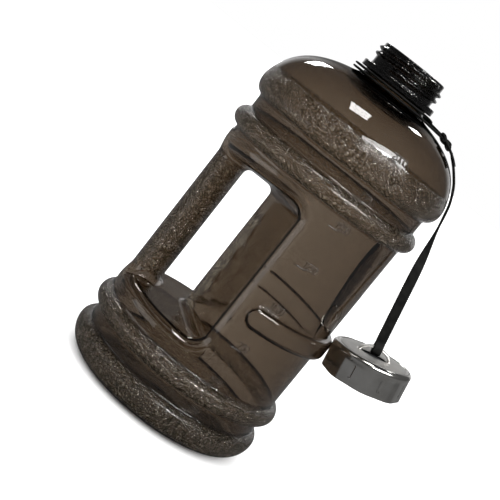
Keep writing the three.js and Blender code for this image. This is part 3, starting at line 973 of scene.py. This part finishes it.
def build_cap():
    """The steel shell, the threaded liner inside it and the gasket in the liner's end."""
    place = (CAP_TURN, CAP_SEAT)
    points, quads = surface(cap_field, (-27.4, -27.4, -19.8), (27.4, 27.4, 7.2), CAP_STEP)
    made = piece(
        "cap_steel", points, quads, steel(), "cap", ("cap_shell",), outward(cap_field, points), place
    )
    x, y, z = points.T
    mark(made, "satin", (1 - ease(np.hypot(x, y), GROOVE_R - 0.5, GROOVE_R + 0.3)) * ease(z, -0.9, -0.2))

    top, bottom, bore = -CAP_WALL - 0.3, 0.5 - CAP_HEIGHT, LINER_BORE
    profile = [
        (0, top - 3), (bore - 0.4, top - 3), (bore, top - 3.4),
        *((bore, h) for h in np.arange(-5.2, -17.4, -0.3)),
        (bore + 0.1, bottom + 0.3), (bore + 0.3, bottom), (24.0, bottom), (LINER_R, bottom + 0.3),
        (LINER_R, -5.4), (24.9, -4.2), (24.9, -3.4), (23.2, -1.4), (22.4, top), (0, top),
    ]
    points, faces = turned(
        profile, 160, lambda t, z: -0.85 * thread(t, z, -15.6, 2.0, 0.0) * (-17.4 < z < -5)
    )
    black = moulded("liner_black", (0.010, 0.010, 0.011), (0.022, 0.022, 0.024), 0.42, 1400.0)
    piece("cap_liner_moulding", points, faces, black, "cap", ("cap_liner",), place=place)

    low, high = top - 5, top - 3.3
    near, far = GASKET_R
    profile = [
        *arc(near, low + 0.5, 0.5, 0.5, 180, 270, 4), *arc(far, low + 0.5, 0.5, 0.5, 270, 360, 4),
        *arc(far, high - 0.3, 0.5, 0.3, 0, 90, 3), *arc(near, high - 0.3, 0.5, 0.3, 90, 180, 3),
    ]
    points, faces = turned(profile, 144)
    rubber = moulded("gasket_silicone", (0.60, 0.59, 0.57), (0.70, 0.69, 0.67), 0.6, 900.0)
    piece("cap_gasket_ring", points, faces, rubber, "cap", ("cap_gasket",), place=place)


build_cap()

# ---- the floor, the light and the surroundings ----


def softbox(name, spot, direction, distance, size, power, spin=0.0):
    """A soft rectangular light, seen in gloss only, that far from a spot on the object."""
    data = bpy.data.lights.new(name, "AREA")
    data.shape = "RECTANGLE"
    data.size, data.size_y = size
    data.energy = power
    light = bpy.data.objects.new(name, data)
    bpy.context.scene.collection.objects.link(light)
    away = Vector(direction).normalized()
    light.location = at(*spot) + away * distance
    light.rotation_mode = "QUATERNION"
    light.rotation_quaternion = away.to_track_quat("Z", "Y") @ Quaternion((0, 0, 1), math.radians(spin))
    light.visible_camera = False
    light.visible_diffuse = False
    light.visible_transmission = False


def ray_kinds(tree):
    """Whether a ray was sent by gloss alone, came through something clear, or left a dull surface."""
    path = add(tree, "LightPath")
    through = path.outputs["Is Transmission Ray"]
    glossy = path.outputs["Is Glossy Ray"]
    gloss = add(tree, "Math", {"operation": "SUBTRACT", "use_clamp": True}, i0=glossy, i1=through).outputs[0]
    return gloss, through, path.outputs["Is Diffuse Ray"]


def build_floor():
    """A pale floor, which the jug's gloss sees dimmer than the eye does."""
    mesh = bpy.data.meshes.new("floor")
    mesh.from_pydata([(-8, -8, 0), (8, -8, 0), (8, 8, 0), (-8, 8, 0)], [], [(0, 1, 2, 3)])
    floor = bpy.data.objects.new("floor", mesh)
    bpy.context.scene.collection.objects.link(floor)
    floor.location.z = -0.0004
    material, tree, shader, _ = nodes_of("floor")
    gloss, through, _ = ray_kinds(tree)
    tone = add(tree, "Mix", {"data_type": "FLOAT"}, i0=gloss, i2=0.93, i3=0.08)
    tone = add(tree, "Mix", {"data_type": "FLOAT"}, i0=through, i2=tone.outputs[0], i3=0.42)
    tree.links.new(tone.outputs[0], shader.inputs["Base Color"])
    shader.inputs["Roughness"].default_value = 0.9
    shader.inputs["Specular IOR Level"].default_value = 0.0
    mesh.materials.append(material)


def build_world():
    """A white studio: bright to the eye and through the jug, and dim to its gloss except low behind it."""
    world = bpy.data.worlds.new("studio")
    bpy.context.scene.world = world
    world.use_nodes = True
    tree = world.node_tree
    tree.nodes.clear()
    output = tree.nodes.new("ShaderNodeOutputWorld")
    gloss, through, dull = ray_kinds(tree)
    way = add(tree, "TexCoord").outputs["Generated"]
    split = add(tree, "SeparateXYZ", Vector=way)
    height = split.outputs["Z"]

    # what is seen through the jug dims overhead, and dull surfaces get more light than the eye sees
    overhead = add(
        tree, "MapRange", {"interpolation_type": "SMOOTHSTEP"}, Value=height,
        **{"From Min": 0.45, "From Max": 0.85, "To Min": 1.0, "To Max": 0.35},
    )
    strength = add(tree, "Mix", {"data_type": "FLOAT"}, i0=through, i2=1.0, i3=overhead.outputs[0])
    strength = add(tree, "Mix", {"data_type": "FLOAT"}, i0=dull, i2=strength.outputs[0], i3=2.4)

    # gloss sees a pale patch behind the jug, low down and to the sides
    behind = add(tree, "VectorMath", {"operation": "DOT_PRODUCT"}, i0=way, i1=(0, 1, 0)).outputs["Value"]
    rim = add(
        tree, "MapRange", {"interpolation_type": "SMOOTHSTEP"}, Value=behind,
        **{"From Min": 0.78, "From Max": 0.96, "To Min": 0.10, "To Max": 0.85},
    )
    level = add(
        tree, "MapRange", Value=height, **{"From Min": 0.0, "From Max": 0.12, "To Min": 0.7, "To Max": 0.15}
    )
    across = add(tree, "Math", {"operation": "ABSOLUTE"}, i0=split.outputs["X"])
    beside = add(tree, "MapRange", Value=across.outputs[0], **{"From Min": 0.10, "From Max": 0.28})
    level = add(tree, "Math", {"operation": "MAXIMUM"}, i0=level.outputs[0], i1=beside.outputs[0])
    rim = add(tree, "Math", {"operation": "MULTIPLY"}, i0=rim.outputs[0], i1=level.outputs[0])
    strength = add(tree, "Mix", {"data_type": "FLOAT"}, i0=gloss, i2=strength.outputs[0], i3=rim.outputs[0])
    background = add(tree, "Background", Color=(1, 1, 1, 1), Strength=strength.outputs[0])
    tree.links.new(background.outputs[0], output.inputs["Surface"])


def build_lights():
    """The windows of light seen in the dome and the neck, and a card each for the cap and the pocket."""
    front = (12, -63, 200)
    softbox("overhead", (-9, -59, 216), (-0.18, -0.19, 0.96), 0.9, (0.27, 0.27), 4.2, spin=38)
    softbox("front_right", front, (0.42, -0.57, 0.60), 0.9, (0.85, 0.32), 11.0)
    softbox("front_right_lamp", front, (0.42, -0.57, 0.60), 0.85, (0.3, 0.07), 4.5)
    softbox("back_left", (-44, -29, 222), (-0.37, 0.79, 0.49), 0.9, (0.2, 0.14), 1.6)
    softbox("back_right", (21, -41, 226), (0.21, 0.70, 0.68), 0.9, (0.05, 0.13), 0.4)
    softbox("cap_card", CAP_SEAT, (-0.07, 0.985, 0.17), 0.2, (0.12, 0.08), 0.012)
    softbox("left_card", (0, -58, 95), (-0.93, -0.30, -0.10), 0.25, (0.2, 0.12), 0.10)
    bpy.context.scene.view_settings.view_transform = "Standard"


build_floor()
build_world()
build_lights()
